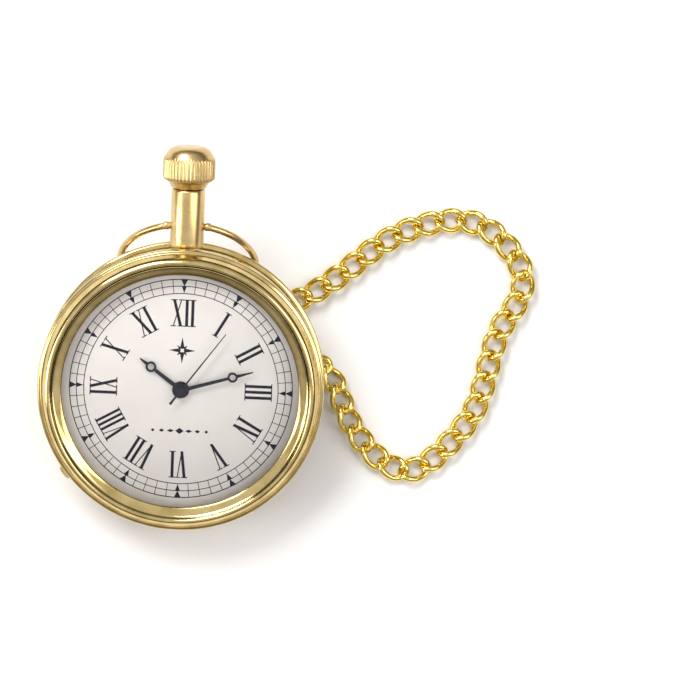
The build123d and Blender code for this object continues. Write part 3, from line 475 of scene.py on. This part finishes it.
def print_numeral(bm, word, hour):
    """A Roman numeral, its foot towards the centre of the dial."""
    widths = sum(letter(kind, 0)[1] for kind in word)
    squeeze = min(1.0, 4.9 / widths) * 0.92
    x, shapes = 0.0, []
    for kind in word:
        bars, width, serifs = letter(kind, x)
        shapes += bars
        for left, right, end in serifs:
            low = 0 if end == 0 else TALL - SERIF
            shapes.append([(left, low), (right, low), (right, low + SERIF), (left, low + SERIF)])
        x += width
    middle = x / 2
    for shape in shapes:
        placed = [((px - middle) * squeeze, py + 11.15) for px, py in shape]
        print_shape(bm, spun(placed, -30 * hour))


def print_star(bm, at, size):
    """A plain four-pointed compass star with shorter points between its arms, as a generic mark."""
    for n in range(4):
        tip = [(0, size), (size * 0.16, size * 0.2), (0, size * 0.1), (-size * 0.16, size * 0.2)]
        print_shape(bm, spun(tip, 90 * n, at))
        tip = [(0, size * 0.55), (size * 0.1, size * 0.22), (0, size * 0.16), (-size * 0.1, size * 0.22)]
        print_shape(bm, spun(tip, 90 * n + 45, at))


def print_dial():
    bm = bmesh.new()
    for radius, width in ((19.5, 0.16), (18.3, 0.13), (17.0, 0.14)):
        print_ring(bm, radius, width)
    for n in range(60):
        angle = 90 - 6 * n
        mark = [(17.0, -0.05), (18.3, -0.05), (18.3, 0.05), (17.0, 0.05)]
        print_shape(bm, spun(mark, angle))
        if n % 5:
            mark = [(18.3, -0.06), (19.5, -0.06), (19.5, 0.06), (18.3, 0.06)]
            print_shape(bm, spun(mark, angle))
        else:
            print_shape(bm, spun([(18.25, 0), (19.55, -0.62), (19.55, 0.62)], angle))
            print_shape(bm, spun([(17.1, 0), (18.25, -0.42), (18.25, 0.42)], angle))
    words = ("XII", "I", "II", "III", "IV", "V", "VI", "VII", "VIII", "IX", "X", "XI")
    for hour, word in enumerate(words):
        print_numeral(bm, word, hour)
    print_star(bm, (0, 6.9), 2.35)
    for side in (-1, 1):
        for n in range(3):
            x, half = side * (1.6 + 1.55 * n), 0.62 - 0.14 * n
            print_shape(bm, [(x - half, -7.5), (x, -7.5 + 0.3), (x + half, -7.5), (x, -7.5 - 0.3)])
    print_shape(bm, [(-0.75, -7.5), (0, -6.95), (0.75, -7.5), (0, -8.05)])
    return add_object("dial_print", bm, WATCH)


finish_piece(print_dial(), "blued_hands", "case", [], INK)

# ---- the chain

ROUTE = (
    (9.2, 7.55), (14.2, 7.8), (19.3, 9.4), (23.9, 12.2), (28.2, 15.6), (32.2, 19.2), (36.4, 22.3), (41.0, 24.3),
    (46.2, 25.6), (51.2, 25.4), (55.2, 22.9), (58.6, 19.2), (60.3, 15.2), (58.9, 10.6), (56.0, 6.3), (54.6, 1.3),
    (53.6, -4.0), (52.0, -9.2), (48.7, -13.9), (44.9, -18.0), (40.6, -20.6), (36.0, -19.0), (32.4, -15.6),
    (29.4, -11.2), (27.6, -6.4), (25.6, -2.6), (21.8, -0.8), (16.4, -1.7),
)
LIE_Z = 1.4
LINKS, PITCH, WIRE_R = 34, 3.97, 0.55
CAD_LENGTH = 136.67
START_LEAN, END_LEAN = -18, 45          # how far the row of links rolls over at its two ends, in degrees
LINK_LONG, LINK_WIDE = 6.2, 4.65


def route_points():
    """The chain's line, in millimetres, read from its spline."""
    data = bpy.data.curves.new("chain_line", "CURVE")
    data.dimensions = "3D"
    data.resolution_u = 24
    spline = data.splines.new("NURBS")
    spline.points.add(len(ROUTE) - 1)
    for point, (x, y) in zip(spline.points, ROUTE):
        point.co = (x * MM, y * MM, LIE_Z * MM, 1)
    spline.order_u = 3
    spline.use_endpoint_u = True
    holder = bpy.data.objects.new("chain_line", data)
    bpy.context.scene.collection.objects.link(holder)
    mesh = bpy.data.meshes.new_from_object(holder)
    points = [vertex.co / MM for vertex in mesh.vertices]
    bpy.data.objects.remove(holder)
    bpy.data.meshes.remove(mesh)
    return points


line = route_points()
steps = [0.0]
for here, there in zip(line, line[1:]):
    steps.append(steps[-1] + (there - here).length)
line_length = steps[-1]


def on_line(distance):
    """The point at a distance along the chain's line, and the direction there."""
    distance = max(0.0, min(distance, line_length - 1e-6))
    n = max(i for i, s in enumerate(steps[:-1]) if s <= distance)
    along = (line[n + 1] - line[n]).normalized()
    return line[n] + along * (distance - steps[n]), along


def curb_link(bm, middle, along, roll):
    """A twisted curb link: an oval of wire whose two ends are turned a quarter turn from each other."""
    a, b = LINK_LONG / 2 - WIRE_R, LINK_WIDE / 2 - WIRE_R
    side = Vector((0, 0, 1)).cross(along).normalized()
    up = Vector((0, 0, 1))
    points = []
    for n in range(40):
        t = 2 * math.pi * n / 40
        x = a * math.copysign(abs(math.cos(t)) ** 0.9, math.cos(t))
        y = b * math.copysign(abs(math.sin(t)) ** 0.9, math.sin(t))
        turn = math.radians(roll + 45 * x / a)
        points.append(middle + along * x + side * (y * math.cos(turn)) + up * (y * math.sin(turn)))
    tube_into(bm, points, WIRE_R, sides=16)


def chain():
    bm = bmesh.new()
    reach = line_length / CAD_LENGTH
    for n in range(LINKS):
        at, along = on_line((LINK_LONG / 2 - WIRE_R + n * PITCH) * reach)
        lean = START_LEAN * max(0.0, 1 - n / 6) + END_LEAN * max(0.0, 1 - (LINKS - 1 - n) / 8)
        at = Vector((at.x, at.y, 1.38 + 0.62 * abs(lean) / 45))
        curb_link(bm, at, along, lean)
    c, s = math.cos(math.radians(21.6)), math.sin(math.radians(21.6))
    oval = []
    for n in range(40):
        t = 2 * math.pi * n / 40
        x, y = 2.1 * math.cos(t), 1.3 * math.sin(t)
        oval.append(Vector((8.17 + x, 7.55 + y * c, 1.76 + y * s)))
    tube_into(bm, oval, 0.45, sides=16)
    return add_object("curb_chain", bm, LYING, smooth_deg=80)


chain_piece = chain()
finish_piece(chain_piece, "gold_chain", "bow_and_chain", ["chain_links"])
ring_bm = bmesh.new()
tube_into(ring_bm, [Vector((7.0, 9.32 + 1.9 * math.cos(a), 2.46 + 1.9 * math.sin(a)))
                    for a in [2 * math.pi * n / 48 for n in range(48)]], 0.45, sides=16)
finish_piece(add_object("chain_jump_ring", ring_bm, LYING, smooth_deg=80), "gold_chain", "bow_and_chain",
             ["jump_ring"])

# ---- floor and light

floor_mesh = bpy.data.meshes.new("floor")
floor_mesh.from_pydata([(-3, -3, 0), (3, -3, 0), (3, 3, 0), (-3, 3, 0)], [], [(0, 1, 2, 3)])
floor = bpy.data.objects.new("floor", floor_mesh)
bpy.context.scene.collection.objects.link(floor)
floor.location.z = -0.00002
paper, nodes, links, bsdf = new_material("floor_paper")
tone = noise(nodes, links, scaled_place(nodes, links, (40, 40, 40)), 3)
links.new(ramp(nodes, links, tone, (0.80, 0.80, 0.80), (0.83, 0.83, 0.83)), bsdf.inputs["Base Color"])
bsdf.inputs["Roughness"].default_value = 0.7
floor_mesh.materials.append(paper)


def softbox(name, at, target, size, watts, tint):
    data = bpy.data.lights.new(name, "AREA")
    data.shape, data.size, data.size_y = "RECTANGLE", size[0], size[1]
    data.energy, data.color = watts, tint
    light = bpy.data.objects.new(name, data)
    bpy.context.scene.collection.objects.link(light)
    light.location = at
    light.rotation_euler = (Vector(target) - Vector(at)).to_track_quat("-Z", "Y").to_euler()


softbox("key", (-0.35, 0.45, 0.75), (0.02, 0, 0), (0.5, 0.5), 7.0, (1.0, 0.98, 0.95))
softbox("fill", (0.55, -0.1, 0.6), (0.02, 0, 0), (0.35, 0.6), 2.2, (1.0, 0.97, 0.94))
softbox("left", (-0.7, -0.2, 0.4), (0.02, 0, 0), (0.3, 0.5), 2.6, (1.0, 0.98, 0.96))
world = bpy.data.worlds.new("studio")
bpy.context.scene.world = world
world.use_nodes = True
nodes, links = world.node_tree.nodes, world.node_tree.links
where = nodes.new("ShaderNodeTexCoord")
split = nodes.new("ShaderNodeSeparateXYZ")
links.new(where.outputs["Generated"], split.inputs["Vector"])
sky = ramp(nodes, links, split.outputs["Z"], (0.07, 0.045, 0.028), (0.95, 0.95, 0.97), 0.15, 0.85)
links.new(sky, nodes["Background"].inputs["Color"])
nodes["Background"].inputs["Strength"].default_value = 0.85
